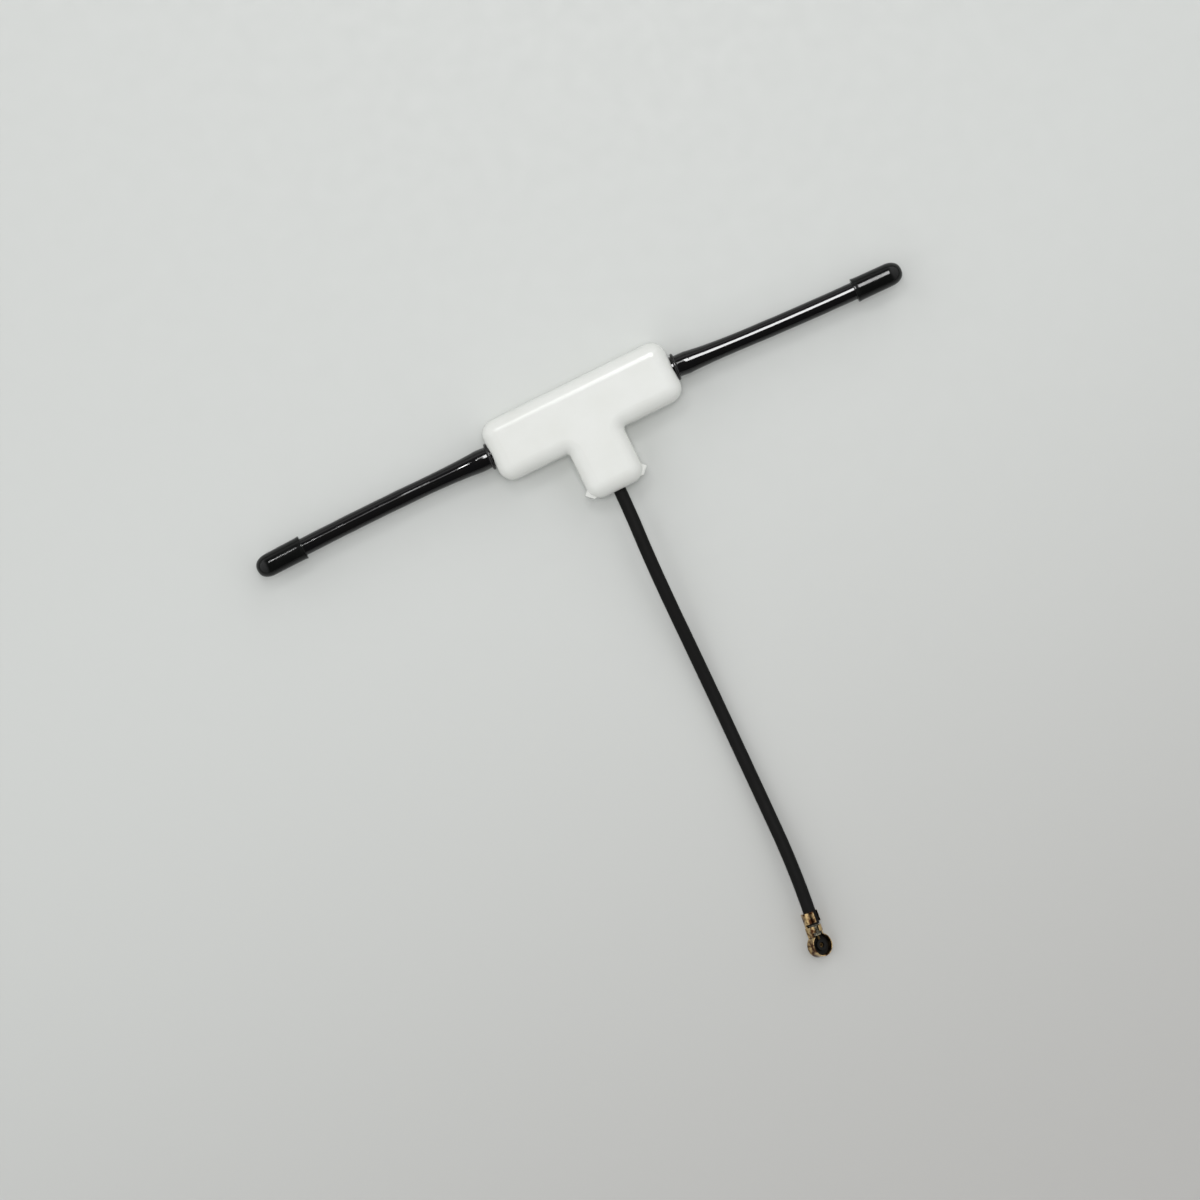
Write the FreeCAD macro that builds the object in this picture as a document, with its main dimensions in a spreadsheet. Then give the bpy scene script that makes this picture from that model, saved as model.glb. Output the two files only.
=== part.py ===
import FreeCAD, Part
import math
import os

import Sketcher

# A T-shaped 2.4 GHz dipole antenna for a radio-control receiver: a white two-shell housing,
# two sleeved arms with end caps, a thin coaxial lead and a micro coaxial plug on its end.
# Millimetres and degrees. +X runs along the right arm, -Y along the stem and the lead, +Z is up.
# The origin is on the underside of the housing, below the crossing of the arm and stem axes.

SIZES = {
    # Housing: a bar across the arms, a stem along the lead, split level with the arm axis
    "bar_length": 17.85,
    "bar_width": 5.7,
    "stem_width": 5.35,
    "stem_reach": 7.7,
    "base_height": 1.9,
    "top_height": 1.9,
    "wall": 0.8,
    "roof": 0.7,
    "corner_radius": 1.35,
    "throat_radius": 0.3,
    "top_round": 1.28,
    "base_bevel": 0.25,
    "seam_bevel": 0.1,
    # Barb on each side of the stem, near its end
    "barb_reach": 0.36,
    "barb_setback": 0.85,
    "barb_nose": 0.6,
    "barb_half_height": 0.8,
    # Gap round pieces that slip into each other
    "fit": 0.03,
    # Arms: each has a metal element, a sleeve with a collar and a flared root, and a cap
    "left_lean": 0,
    "right_lean": 2.8,
    "lean_depth": 1.85,
    "left_sleeve_length": 18.5,
    "right_sleeve_length": 17.45,
    "element_diameter": 1.0,
    "element_inset": 2.6,
    "element_tip": 0.3,
    "sleeve_diameter": 1.6,
    "sleeve_tail": 0.4,
    "root_diameter": 2.02,
    "flare_length": 4.6,
    "collar_diameter": 2.5,
    "collar_thickness": 0.28,
    "cap_diameter": 2.12,
    "cap_length": 4.55,
    "cap_grip": 2.2,
    "cap_round": 0.8,
    "cap_rim_diameter": 2.2,
    "cap_rim_width": 0.5,
    # Feed board inside the bar
    "board_length": 9.0,
    "board_clearance": 0.1,
    "board_thickness": 0.6,
    "pad_thickness": 0.05,
    "pad_margin": 0.15,
    "feed_gap": 0.3,
    # Coaxial lead and its two stripped ends
    "cable_diameter": 1.13,
    "braid_diameter": 0.92,
    "dielectric_diameter": 0.68,
    "core_diameter": 0.24,
    "feed_braid_length": 0.6,
    "feed_dielectric_length": 0.55,
    "feed_core_length": 0.7,
    "plug_braid_length": 0.9,
    "plug_dielectric_length": 0.12,
    # Plug: a stamped shell with a ring, a lid, two ears and two crimps, round an insulator and a contact
    "plug_roll": 34,
    "plug_reach": 1.95,
    "ring_diameter": 2.06,
    "ring_wall": 0.07,
    "ring_notch": 1.0,
    "lid_thickness": 0.2,
    "plug_height": 0.95,
    "ear_height": 0.82,
    "strip_width": 0.8,
    "crimp_wall": 0.13,
    "jacket_crimp_setback": 1.15,
    "jacket_crimp_length": 1.0,
    "jacket_seam_width": 0.69,
    "jacket_seam_turn": -21,
    "braid_crimp_start": 0.15,
    "braid_crimp_length": 0.55,
    "braid_seam_width": 0.36,
    "braid_seam_turn": 20,
    "insulator_thickness": 0.28,
    "boss_diameter": 1.0,
    "boss_height": 0.62,
    "contact_diameter": 0.44,
    "contact_bore": 0.2,
    "contact_recess": 0.15,
}

# The lead's route, from its stripped end in the housing to its stripped end in the plug
ROUTE = [
    (0.0, -1.75, 1.9),
    (0.0, -8.7, 1.9),
    (-0.45, -17.2, 1.7),
    (-0.65, -31.0, 0.52),
    (-1.0, -43.5, 1.17),
    (-1.64, -49.84, 1.17),
]
# Share of the shorter run that a bend takes up
BEND_SHARE = 0.45

UP = FreeCAD.Vector(0, 0, 1)
NEAR = 1e-4

doc = FreeCAD.newDocument("receiver_antenna")
dims = doc.addObject("Spreadsheet::Sheet", "dims")
for row, (alias, value) in enumerate(SIZES.items(), start=1):
    dims.set(f"A{row}", alias)
    dims.set(f"B{row}", str(value))
    dims.setAlias(f"B{row}", alias)
doc.recompute()

sub_parts = []

# Places and sizes that several pieces share
BAR_END = "dims.bar_length / 2"
BAR_SIDE = "dims.bar_width / 2"
STEM_SIDE = "dims.stem_width / 2"
BARB_STATION = "(dims.stem_reach - dims.barb_setback)"
BOARD_WIDTH = "(dims.bar_width - 2 * dims.wall - 2 * dims.board_clearance)"
PAD_DROP = "(max(dims.element_diameter; dims.cable_diameter) / 2 + dims.fit)"
FLOOR_DROP = f"({PAD_DROP} + dims.pad_thickness + dims.board_thickness)"
JACKET_BORE = "(dims.cable_diameter / 2 + dims.fit)"
BRAID_BORE = "(dims.braid_diameter / 2 + dims.fit)"
STRIP_BOTTOM = f"({JACKET_BORE} + dims.lid_thickness)"
LID_BOTTOM = f"({BRAID_BORE} + dims.lid_thickness)"


def bind(thing, formulas):
    """Ties properties of a document object to formulas of the sheet."""
    for path, formula in formulas.items():
        thing.setExpression(path, formula)


def new_body(label):
    """Starts a sub-part made of features."""
    body = doc.addObject("PartDesign::Body", label)
    body.Label = label
    sub_parts.append(body)
    return body


def new_sketch(body, name, plane, offset=None):
    """Puts a sketch on one of the body's own planes, moved or turned by formulas."""
    sketch = body.newObject("Sketcher::SketchObject", f"{body.Name}_{name}")
    support = next(f for f in body.Origin.OriginFeatures if f.Role == plane)
    sketch.AttachmentSupport = [(support, "")]
    sketch.MapMode = "FlatFace"
    sketch.AttachmentOffset = FreeCAD.Placement(FreeCAD.Vector(), FreeCAD.Rotation(UP, 1))
    bind(sketch, {"AttachmentOffset.Rotation.Angle": "0"})
    bind(sketch, {f"AttachmentOffset.{path}": formula for path, formula in (offset or {}).items()})
    return sketch


def hold_point(sketch, item, point, start, formulas):
    """Holds one point of a sketch at a pair of formulas."""
    for kind, rough, formula in zip(("DistanceX", "DistanceY"), (start.x, start.y), formulas):
        index = sketch.addConstraint(Sketcher.Constraint(kind, -1, 1, item, point, rough))
        sketch.setExpression(f"Constraints[{index}]", formula)


def draw_outline(sketch, corners):
    """Draws a closed outline of straight lines through corners given as pairs of formulas."""
    count = len(corners)
    turn = 2 * math.pi / count
    starts = [FreeCAD.Vector(math.cos(turn * i), math.sin(turn * i), 0) for i in range(count)]
    items = []
    for i in range(count):
        side = Part.LineSegment(starts[i], starts[(i + 1) % count])
        items.append(sketch.addGeometry(side, False))
    for item, following in zip(items, items[1:] + items[:1]):
        sketch.addConstraint(Sketcher.Constraint("Coincident", item, 2, following, 1))
    for item, start, corner in zip(items, starts, corners):
        hold_point(sketch, item, 1, start, corner)


def draw_circle(sketch, centre, radius):
    """Draws a circle with its centre and radius given as formulas."""
    start = FreeCAD.Vector(1, 1, 0)
    item = sketch.addGeometry(Part.Circle(start, UP, 1), False)
    hold_point(sketch, item, 3, start, centre)
    index = sketch.addConstraint(Sketcher.Constraint("Radius", item, 1))
    sketch.setExpression(f"Constraints[{index}]", radius)


def rectangle(x_low, x_high, y_low, y_high):
    """Gives the corners of an upright rectangle."""
    return [(x_low, y_low), (x_high, y_low), (x_high, y_high), (x_low, y_high)]


def add_feature(body, kind, sketch, **settings):
    """Adds a feature on a sketch and checks that a cut takes material away."""
    before = body.Shape.Volume if body.Tip else 0
    feature = body.newObject(f"PartDesign::{kind}", f"{sketch.Name}_{kind.lower()}")
    feature.Profile = sketch
    length = settings.pop("Length", None)
    for name, value in settings.items():
        setattr(feature, name, value)
    if length:
        bind(feature, {"Length": length})
    doc.recompute()
    if kind in ("Pocket", "Groove") and not feature.Shape.Volume < before - NEAR:
        raise RuntimeError(f"{feature.Name} cuts nothing")
    return feature


def dress_edges(body, name, formulas, wanted):
    """Rounds or bevels the edges of the body's last feature that the test picks."""
    base = body.Tip
    edges = [f"Edge{i}" for i, edge in enumerate(base.Shape.Edges, start=1) if wanted(edge)]
    if not edges:
        raise RuntimeError(f"{body.Name} has no edge for {name}")
    kind = "Fillet" if "Radius" in formulas else "Chamfer"
    dressed = body.newObject(f"PartDesign::{kind}", f"{body.Name}_{name}")
    dressed.Base = (base, edges)
    bind(dressed, formulas)
    doc.recompute()


def turned_body(label, corners, plane="XY_Plane", axis="H_Axis", offset=None):
    """Makes a round sub-part by turning an outline about an axis of its sketch."""
    body = new_body(label)
    sketch = new_sketch(body, "profile", plane, offset)
    draw_outline(sketch, corners)
    add_feature(body, "Revolution", sketch, ReferenceAxis=(sketch, [axis]), Angle=360)
    return body


def place(thing, x="0", y="0", z="0", turn="0"):
    """Ties a placement to formulas: a position and a turn about the upright axis."""
    thing.Placement = FreeCAD.Placement(FreeCAD.Vector(), FreeCAD.Rotation(UP, 1))
    bind(thing, {"Placement.Base.x": x, "Placement.Base.y": y, "Placement.Base.z": z})
    bind(thing, {"Placement.Rotation.Angle": turn})


# Each arm leans about a point inside the bar, at the lean depth from the bar's end
ARMS = {
    "left": {"x": f"-{BAR_END}", "y": "-dims.lean_depth * tan(dims.left_lean)",
             "turn": "180 + dims.left_lean"},
    "right": {"x": BAR_END, "y": "-dims.lean_depth * tan(dims.right_lean)",
              "turn": "360 - dims.right_lean"},
}


def upright(edge):
    """Tells whether an edge stands parallel to Z."""
    box = edge.BoundBox
    return box.ZLength > NEAR and box.XLength < NEAR and box.YLength < NEAR


def make_shell(label, rising, height, cavity, dressings):
    """Makes one half of the housing, from the parting plane up or down."""
    body = new_body(label)
    t_shape = [
        (f"-{BAR_END}", BAR_SIDE), (BAR_END, BAR_SIDE),
        (BAR_END, f"-{BAR_SIDE}"), (STEM_SIDE, f"-{BAR_SIDE}"),
        (STEM_SIDE, "-dims.stem_reach"), (f"-{STEM_SIDE}", "-dims.stem_reach"),
        (f"-{STEM_SIDE}", f"-{BAR_SIDE}"), (f"-{BAR_END}", f"-{BAR_SIDE}"),
    ]
    sketch = new_sketch(body, "outline", "XY_Plane")
    draw_outline(sketch, t_shape)
    add_feature(body, "Pad", sketch, Length=height, Reversed=not rising)

    def at_corner(edge):
        on_bar_end = abs(abs(edge.CenterOfMass.x) - dims.bar_length / 2) < NEAR
        on_stem_end = abs(edge.CenterOfMass.y + dims.stem_reach) < NEAR
        return upright(edge) and (on_bar_end or on_stem_end)

    def at_throat(edge):
        beside_stem = abs(abs(edge.CenterOfMass.x) - dims.stem_width / 2) < NEAR
        return upright(edge) and beside_stem and abs(edge.CenterOfMass.y + dims.bar_width / 2) < NEAR

    def on_rim(edge):
        return edge.BoundBox.ZLength < NEAR and abs(edge.CenterOfMass.z) > NEAR

    def on_seam(edge):
        return edge.BoundBox.ZLength < NEAR and abs(edge.CenterOfMass.z) < NEAR

    tests = {"corners": at_corner, "throats": at_throat, "rim": on_rim, "seam": on_seam}
    for name, formulas in dressings.items():
        dress_edges(body, name, formulas, tests[name])
    add_barbs(body, rising)
    add_cavities(body, rising, cavity)
    add_bores(body)
    place(body, z="dims.base_height")


def add_barbs(body, rising):
    """Adds half of the barbs: points on the stem's sides with a catch and a sloping nose."""
    sketch = new_sketch(body, "barbs", "XY_Plane")
    point = f"({STEM_SIDE} + dims.barb_reach)"
    nose_end = f"-({BARB_STATION} + dims.barb_nose)"
    for sign in ("", "-"):
        root = f"{sign}({STEM_SIDE} - dims.wall)"
        draw_outline(sketch, [
            (root, f"-({BARB_STATION} - dims.barb_reach - dims.wall)"),
            (f"{sign}{point}", f"-{BARB_STATION}"),
            (f"{sign}({point} - dims.barb_nose)", nose_end),
            (root, nose_end),
        ])
    add_feature(body, "Pad", sketch, Length="dims.barb_half_height", Reversed=not rising)


def add_cavities(body, rising, depth):
    """Cuts the room for the feed board and, past a web, the room in the stem."""
    bar_side = f"({BAR_SIDE} - dims.wall)"
    bar_end = f"({BAR_END} - dims.wall)"
    stem_side = f"({STEM_SIDE} - dims.wall)"
    rooms = {
        "bar_room": rectangle(f"-{bar_end}", bar_end, f"-{bar_side}", bar_side),
        "stem_room": rectangle(f"-{stem_side}", stem_side, "-(dims.stem_reach - dims.wall)",
                               f"-{BAR_SIDE}"),
    }
    for name, corners in rooms.items():
        sketch = new_sketch(body, name, "XY_Plane")
        draw_outline(sketch, corners)
        add_feature(body, "Pocket", sketch, Length=depth, Reversed=rising)


def add_bores(body):
    """Cuts the half-round ways for the two sleeves and for the lead."""
    for side, arm in ARMS.items():
        offset = {"Base.x": arm["x"], "Base.y": arm["y"], "Rotation.Angle": arm["turn"]}
        sketch = new_sketch(body, f"{side}_bore", "XY_Plane", offset)
        draw_outline(sketch, rectangle("-2 * dims.wall", "dims.wall",
                                       "0", "dims.root_diameter / 2 + dims.fit"))
        add_feature(body, "Groove", sketch, ReferenceAxis=(sketch, ["H_Axis"]), Angle=360)
    sketch = new_sketch(body, "lead_bore", "XY_Plane")
    draw_outline(sketch, rectangle("0", "dims.cable_diameter / 2 + dims.fit",
                                   "-(dims.stem_reach + dims.wall)", f"-({BAR_SIDE} - 2 * dims.wall)"))
    add_feature(body, "Groove", sketch, ReferenceAxis=(sketch, ["V_Axis"]), Angle=360)


def make_arm(side):
    """Makes one arm's element, sleeve and cap, along its own axis out from the bar's end."""
    lean = f"dims.{side}_lean"
    cap_start = f"dims.{side}_sleeve_length"
    sleeve_end = f"({cap_start} + dims.cap_grip)"
    element_end = f"({sleeve_end} + dims.element_tip)"
    element_root = f"-({BAR_END} - dims.element_inset)"
    element_radius = "dims.element_diameter / 2"
    element = turned_body(f"{side}_element", rectangle(element_root, element_end, "0", element_radius))

    tail = "-(dims.wall + dims.sleeve_tail)"
    bore = f"{element_radius} + dims.fit"
    collar = "dims.collar_diameter / 2"
    seat = f"(dims.fit + {collar} * tan({lean}))"
    collar_end = f"({seat} + dims.collar_thickness)"
    root = "dims.root_diameter / 2"
    skin = "dims.sleeve_diameter / 2"
    sleeve = turned_body(f"{side}_sleeve", [
        (tail, bore), (sleeve_end, bore), (sleeve_end, skin), ("dims.flare_length", skin),
        (collar_end, root), (collar_end, collar), (seat, collar), (seat, root), (tail, root),
    ])

    socket_end = f"({element_end} + dims.fit)"
    socket = f"({skin} + dims.fit)"
    rim = "dims.cap_rim_diameter / 2"
    rim_end = f"({cap_start} + dims.cap_rim_width)"
    outside = "dims.cap_diameter / 2"
    cap_end = f"({cap_start} + dims.cap_length)"
    cap = turned_body(f"{side}_cap", [
        (cap_start, socket), (cap_start, rim), (rim_end, outside), (cap_end, outside),
        (cap_end, "0"), (socket_end, "0"), (socket_end, socket),
    ])
    tip = getattr(dims, f"{side}_sleeve_length") + dims.cap_length

    def at_tip(edge):
        return edge.BoundBox.XLength < NEAR and abs(edge.CenterOfMass.x - tip) < NEAR

    dress_edges(cap, "dome", {"Radius": "dims.cap_round"}, at_tip)
    for piece in (element, sleeve, cap):
        place(piece, z="dims.base_height", **ARMS[side])


def make_plate(label, length, width, thickness, x, y, z):
    """Makes a flat rectangular piece from its lowest corner."""
    plate = doc.addObject("Part::Box", label)
    plate.Label = label
    bind(plate, {"Length": length, "Width": width, "Height": thickness})
    place(plate, x=x, y=y, z=z)
    sub_parts.append(plate)


def make_feed_board():
    """Makes the board on the cavity's floor and the copper pad under each element."""
    half = "dims.board_length / 2"
    make_plate("feed_board", "dims.board_length", BOARD_WIDTH, "dims.board_thickness",
               f"-{half}", f"-{BOARD_WIDTH} / 2", f"dims.base_height - {FLOOR_DROP}")
    pad_length = f"({half} - dims.feed_gap / 2 - dims.pad_margin)"
    pad_width = f"({BOARD_WIDTH} - 2 * dims.pad_margin)"
    for side, x in (("left", f"-{half} + dims.pad_margin"), ("right", "dims.feed_gap / 2")):
        make_plate(f"{side}_pad", pad_length, pad_width, "dims.pad_thickness",
                   x, f"-{pad_width} / 2", f"dims.base_height - {PAD_DROP} - dims.pad_thickness")


def route_wire(points):
    """Joins the route's straight runs with tangent arcs and reports the arcs' radii."""
    edges = []
    radii = []
    here = points[0]
    for before, corner, after in zip(points, points[1:], points[2:]):
        back = before - corner
        ahead = after - corner
        half_turn = (math.pi - back.getAngle(ahead)) / 2
        setback = BEND_SHARE * min(back.Length, ahead.Length)
        radius = setback / math.tan(half_turn)
        radii.append(round(radius, 1))
        into = corner + FreeCAD.Vector(back).normalize() * setback
        out = corner + FreeCAD.Vector(ahead).normalize() * setback
        inward = (into + out) * 0.5 - corner
        depth = radius / math.cos(half_turn) - radius
        middle = corner + inward.normalize() * depth
        edges.append(Part.LineSegment(here, into).toShape())
        edges.append(Part.Arc(into, middle, out).toShape())
        here = out
    edges.append(Part.LineSegment(here, points[-1]).toShape())
    print("lead bend radii", radii)
    return Part.Wire(edges)


def make_cable():
    """Makes the jacketed lead as a plain round sweep along its route."""
    points = [FreeCAD.Vector(*point) for point in ROUTE]
    path = route_wire(points)
    radius = dims.cable_diameter / 2
    ring = Part.Wire(Part.Circle(points[0], points[1] - points[0], radius).toShape())
    cable = doc.addObject("Part::Feature", "coax_cable")
    cable.Label = "coax_cable"
    cable.Shape = path.makePipeShell([ring], True, False)
    expected = math.pi * radius ** 2 * path.Length
    print("lead length", round(path.Length, 2), "volume share", cable.Shape.Volume / expected)
    if abs(cable.Shape.Volume / expected - 1) > 0.01:
        raise RuntimeError("the lead's volume is not its section times its length")
    sub_parts.append(cable)


def make_stripped_end(prefix, placement, braid, dielectric, core):
    """Makes the braid, the dielectric and the core that stand out of one end of the jacket."""
    layers = (
        ("braid", "dims.braid_diameter / 2", "0", braid),
        ("dielectric", "dims.dielectric_diameter / 2", braid, dielectric),
        ("core", "dims.core_diameter / 2", dielectric, core),
    )
    for name, radius, start, end in layers:
        layer = turned_body(f"{prefix}_{name}", rectangle(start, end, "0", radius))
        layer.Placement = placement


def make_crimp(body, name, start, radius, bottom):
    """Adds a crimp round the lead: a ring on a web, with a seam between its two wings."""
    offset = {"Base.z": start}
    length = f"dims.{name}_crimp_length"
    half_seam = f"dims.{name}_seam_width / 2"
    ring = new_sketch(body, f"{name}_ring", "YZ_Plane", offset)
    draw_circle(ring, ("0", "0"), f"{radius} + dims.crimp_wall")
    add_feature(body, "Pad", ring, Length=length)
    web = new_sketch(body, f"{name}_web", "YZ_Plane", offset)
    draw_outline(web, rectangle("-dims.strip_width / 2", "dims.strip_width / 2", f"-{bottom}", "0"))
    add_feature(body, "Pad", web, Length=length)
    bore = new_sketch(body, f"{name}_bore", "YZ_Plane", offset)
    draw_circle(bore, ("0", "0"), radius)
    add_feature(body, "Pocket", bore, Length=length, Reversed=True)
    seam = new_sketch(body, f"{name}_seam", "YZ_Plane",
                      {**offset, "Rotation.Angle": f"dims.{name}_seam_turn"})
    draw_outline(seam, rectangle(f"-{half_seam}", half_seam, "0", f"{radius} + 2 * dims.crimp_wall"))
    add_feature(body, "Pocket", seam, Length=length, Reversed=True)


def make_plug_shell(placement):
    """Makes the stamped shell: a lid, a split ring with two ears, a joggled strip and two crimps."""
    body = new_body("plug_shell")
    ring_radius = "dims.ring_diameter / 2"
    ring_back = f"(dims.plug_reach - {ring_radius})"
    lid_plane = {"Base.z": f"-{LID_BOTTOM}"}
    lid = new_sketch(body, "lid", "XY_Plane", lid_plane)
    draw_circle(lid, ("dims.plug_reach", "0"), ring_radius)
    add_feature(body, "Pad", lid, Length="dims.lid_thickness")
    strip_ends = {
        "tongue": (LID_BOTTOM, "dims.fit", "dims.plug_reach"),
        "strip": (STRIP_BOTTOM, "-dims.jacket_crimp_setback", "dims.braid_crimp_start"),
    }
    for name, (drop, start, end) in strip_ends.items():
        sketch = new_sketch(body, name, "XY_Plane", {"Base.z": f"-{drop}"})
        draw_outline(sketch, rectangle(start, end, "-dims.strip_width / 2", "dims.strip_width / 2"))
        add_feature(body, "Pad", sketch, Length="dims.lid_thickness")
    ring = new_sketch(body, "ring", "XY_Plane", lid_plane)
    draw_circle(ring, ("dims.plug_reach", "0"), ring_radius)
    draw_circle(ring, ("dims.plug_reach", "0"), f"{ring_radius} - dims.ring_wall")
    add_feature(body, "Pad", ring, Length="dims.plug_height")
    notch = new_sketch(body, "notch", "XY_Plane", {"Base.z": f"-{BRAID_BORE}"})
    draw_outline(notch, rectangle(f"{ring_back} - dims.ring_wall", "dims.plug_reach",
                                  "-dims.ring_notch / 2", "dims.ring_notch / 2"))
    add_feature(body, "Pocket", notch, Length="dims.plug_height", Reversed=True)
    ears = new_sketch(body, "ears", "XY_Plane", lid_plane)
    for sign in ("", "-"):
        draw_outline(ears, rectangle("dims.braid_crimp_start", f"{ring_back} + 2 * dims.ring_wall",
                                     f"{sign}(dims.ring_notch / 2)",
                                     f"{sign}(dims.ring_notch / 2 + dims.ring_wall)"))
    add_feature(body, "Pad", ears, Length="dims.ear_height")
    make_crimp(body, "jacket", "-dims.jacket_crimp_setback", JACKET_BORE, STRIP_BOTTOM)
    make_crimp(body, "braid", "dims.braid_crimp_start", BRAID_BORE, LID_BOTTOM)
    body.Placement = placement


def make_plug_inside(placement):
    """Makes the insulator with its boss and the hollow contact in the boss."""
    centre = {"Base.x": "dims.plug_reach"}
    outside = "dims.ring_diameter / 2 - dims.ring_wall - dims.fit"
    boss = "dims.boss_diameter / 2"
    well = "dims.contact_diameter / 2 + dims.fit"
    floor = f"-{BRAID_BORE}"
    step = f"({floor} + dims.insulator_thickness)"
    boss_top = f"({floor} + dims.boss_height)"
    insulator = turned_body("plug_insulator", [
        (well, floor), (outside, floor), (outside, step), (boss, step), (boss, boss_top), (well, boss_top),
    ], "XZ_Plane", "V_Axis", centre)
    contact_top = f"({boss_top} - dims.contact_recess)"
    contact_radius = "dims.contact_diameter / 2"
    bore = "dims.contact_bore / 2"
    contact = turned_body("plug_contact", [
        ("0", floor), (contact_radius, floor), (contact_radius, contact_top), (bore, contact_top),
        (bore, step), ("0", step),
    ], "XZ_Plane", "V_Axis", centre)
    for piece in (insulator, contact):
        piece.Placement = placement


def end_placement(end, neighbour, roll):
    """Gives the frame at one end of the lead: X out of the end, rolled about it."""
    out = FreeCAD.Vector(*end) - FreeCAD.Vector(*neighbour)
    heading = math.degrees(math.atan2(out.y, out.x))
    return FreeCAD.Placement(FreeCAD.Vector(*end), FreeCAD.Rotation(heading, 0, roll))


def check_and_write():
    """Checks every object and every sub-part, then writes one file per sub-part."""
    for thing in doc.Objects:
        if "Invalid" in thing.State or "Error" in thing.State:
            raise RuntimeError(f"{thing.Name} failed: {thing.State}")
    for piece in sub_parts:
        shape = piece.Shape
        if shape.isNull() or not shape.isValid() or len(shape.Solids) != 1:
            raise RuntimeError(f"{piece.Label} is not one valid solid")
    os.makedirs("parts", exist_ok=True)
    for piece in sub_parts:
        piece.Shape.exportStep(f"parts/{piece.Label}.step")
        print(piece.Label, round(piece.Shape.Volume, 3))


outline_rounds = {"corners": {"Radius": "dims.corner_radius"}, "throats": {"Radius": "dims.throat_radius"}}
top_round = "min(dims.top_round; 0.96 * dims.corner_radius; 0.85 * dims.top_height)"
make_shell("housing_top", True, "dims.top_height", "dims.top_height - dims.roof",
           {**outline_rounds, "rim": {"Radius": top_round}})
make_shell("housing_base", False, "dims.base_height", FLOOR_DROP,
           {**outline_rounds, "rim": {"Size": "dims.base_bevel"}, "seam": {"Size": "dims.seam_bevel"}})
make_feed_board()
for arm_side in ARMS:
    make_arm(arm_side)
make_cable()
make_stripped_end("feed", end_placement(ROUTE[0], ROUTE[1], 0), "dims.feed_braid_length",
                  "dims.feed_braid_length + dims.feed_dielectric_length",
                  "dims.feed_braid_length + dims.feed_dielectric_length + dims.feed_core_length")
plug_frame = end_placement(ROUTE[-1], ROUTE[-2], -dims.plug_roll)
make_stripped_end("plug", plug_frame, "dims.plug_braid_length",
                  "dims.plug_braid_length + dims.plug_dielectric_length",
                  "dims.plug_reach - dims.boss_diameter / 2 - dims.fit")
make_plug_shell(plug_frame)
make_plug_inside(plug_frame)
doc.recompute()
check_and_write()
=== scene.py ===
"""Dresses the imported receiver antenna: finishes, a smooth lead, fine arms, floor and light.

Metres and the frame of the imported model: +X along the right arm, -Y along the lead, +Z up from
the floor. Fields and constants are in millimetres unless their name or comment says otherwise.
"""

import logging
import math
from collections.abc import Callable, Sequence
from dataclasses import dataclass, field
from enum import Enum

import bmesh
import bpy
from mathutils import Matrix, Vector


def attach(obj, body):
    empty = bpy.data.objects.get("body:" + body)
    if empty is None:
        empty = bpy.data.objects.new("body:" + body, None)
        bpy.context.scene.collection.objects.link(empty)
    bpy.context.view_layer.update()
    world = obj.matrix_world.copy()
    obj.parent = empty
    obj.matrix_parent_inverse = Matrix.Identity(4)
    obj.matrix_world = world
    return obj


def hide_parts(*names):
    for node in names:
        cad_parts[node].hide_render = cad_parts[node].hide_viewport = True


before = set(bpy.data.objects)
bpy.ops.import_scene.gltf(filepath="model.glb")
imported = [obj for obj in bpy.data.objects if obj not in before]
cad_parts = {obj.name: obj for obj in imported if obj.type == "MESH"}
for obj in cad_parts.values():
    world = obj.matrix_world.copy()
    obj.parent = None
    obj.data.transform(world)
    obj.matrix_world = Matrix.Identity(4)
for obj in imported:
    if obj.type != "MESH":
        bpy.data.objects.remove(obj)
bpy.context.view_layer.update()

LOG = logging.getLogger("antenna")
MM = 0.001
BODY = "root"
# Points closer together than this, in metres, become one.
WELD_DISTANCE = 1e-7
# The range that nearly all values of a noise texture fall into.
NOISE_SPAN = (0.3, 0.7)
# Octaves of noise in a finish's drift of colour, patches of gloss and relief.
DRIFT_DETAIL = 4.0
GLOSS_DETAIL = 3.0
RELIEF_DETAIL = 2.0
# How many times wider the patches of gloss are than the relief.
GLOSS_PER_RELIEF = 4
# Rays that find the soft edges.
EDGE_SAMPLES = 6
# Middle of the picture on the floor.
VIEW_CENTRE = (-5.93, -15.68)

Point = tuple[float, float, float]
Profile = list[tuple[float, float]]


# Colours and shader nodes

def hex_to_linear(code: str) -> tuple[float, float, float, float]:
    """Turns an sRGB hex colour into linear light, by the standard's own curve.

    Args:
        code: The colour as "#RRGGBB".

    Returns:
        Linear red, green, blue and an alpha of one.
    """
    parts = [int(code[i:i + 2], 16) / 255 for i in (1, 3, 5)]
    linear = [c / 12.92 if c <= 0.04045 else ((c + 0.055) / 1.055) ** 2.4 for c in parts]
    return (linear[0], linear[1], linear[2], 1.0)


def add_node(tree: bpy.types.NodeTree, kind: str, values: dict | None = None,
             links: dict | None = None, **settings: object) -> bpy.types.Node:
    """Adds a node, sets it and links its inputs.

    Args:
        tree: The node tree that takes the node.
        kind: The node's type name.
        values: Input names or numbers with their values.
        links: Input names or numbers with the output sockets that feed them.
        settings: Attributes of the node itself.

    Returns:
        The new node.
    """
    node = tree.nodes.new(kind)
    for name, value in settings.items():
        setattr(node, name, value)
    for key, value in (values or {}).items():
        node.inputs[key].default_value = value
    for key, socket in (links or {}).items():
        tree.links.new(socket, node.inputs[key])
    return node


def per_mm(size: float) -> float:
    """Gives the scale of a noise texture.

    Args:
        size: About how many millimetres its features are across.

    Returns:
        The scale, in features to a metre.
    """
    return 1.0 / (size * MM)


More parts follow.
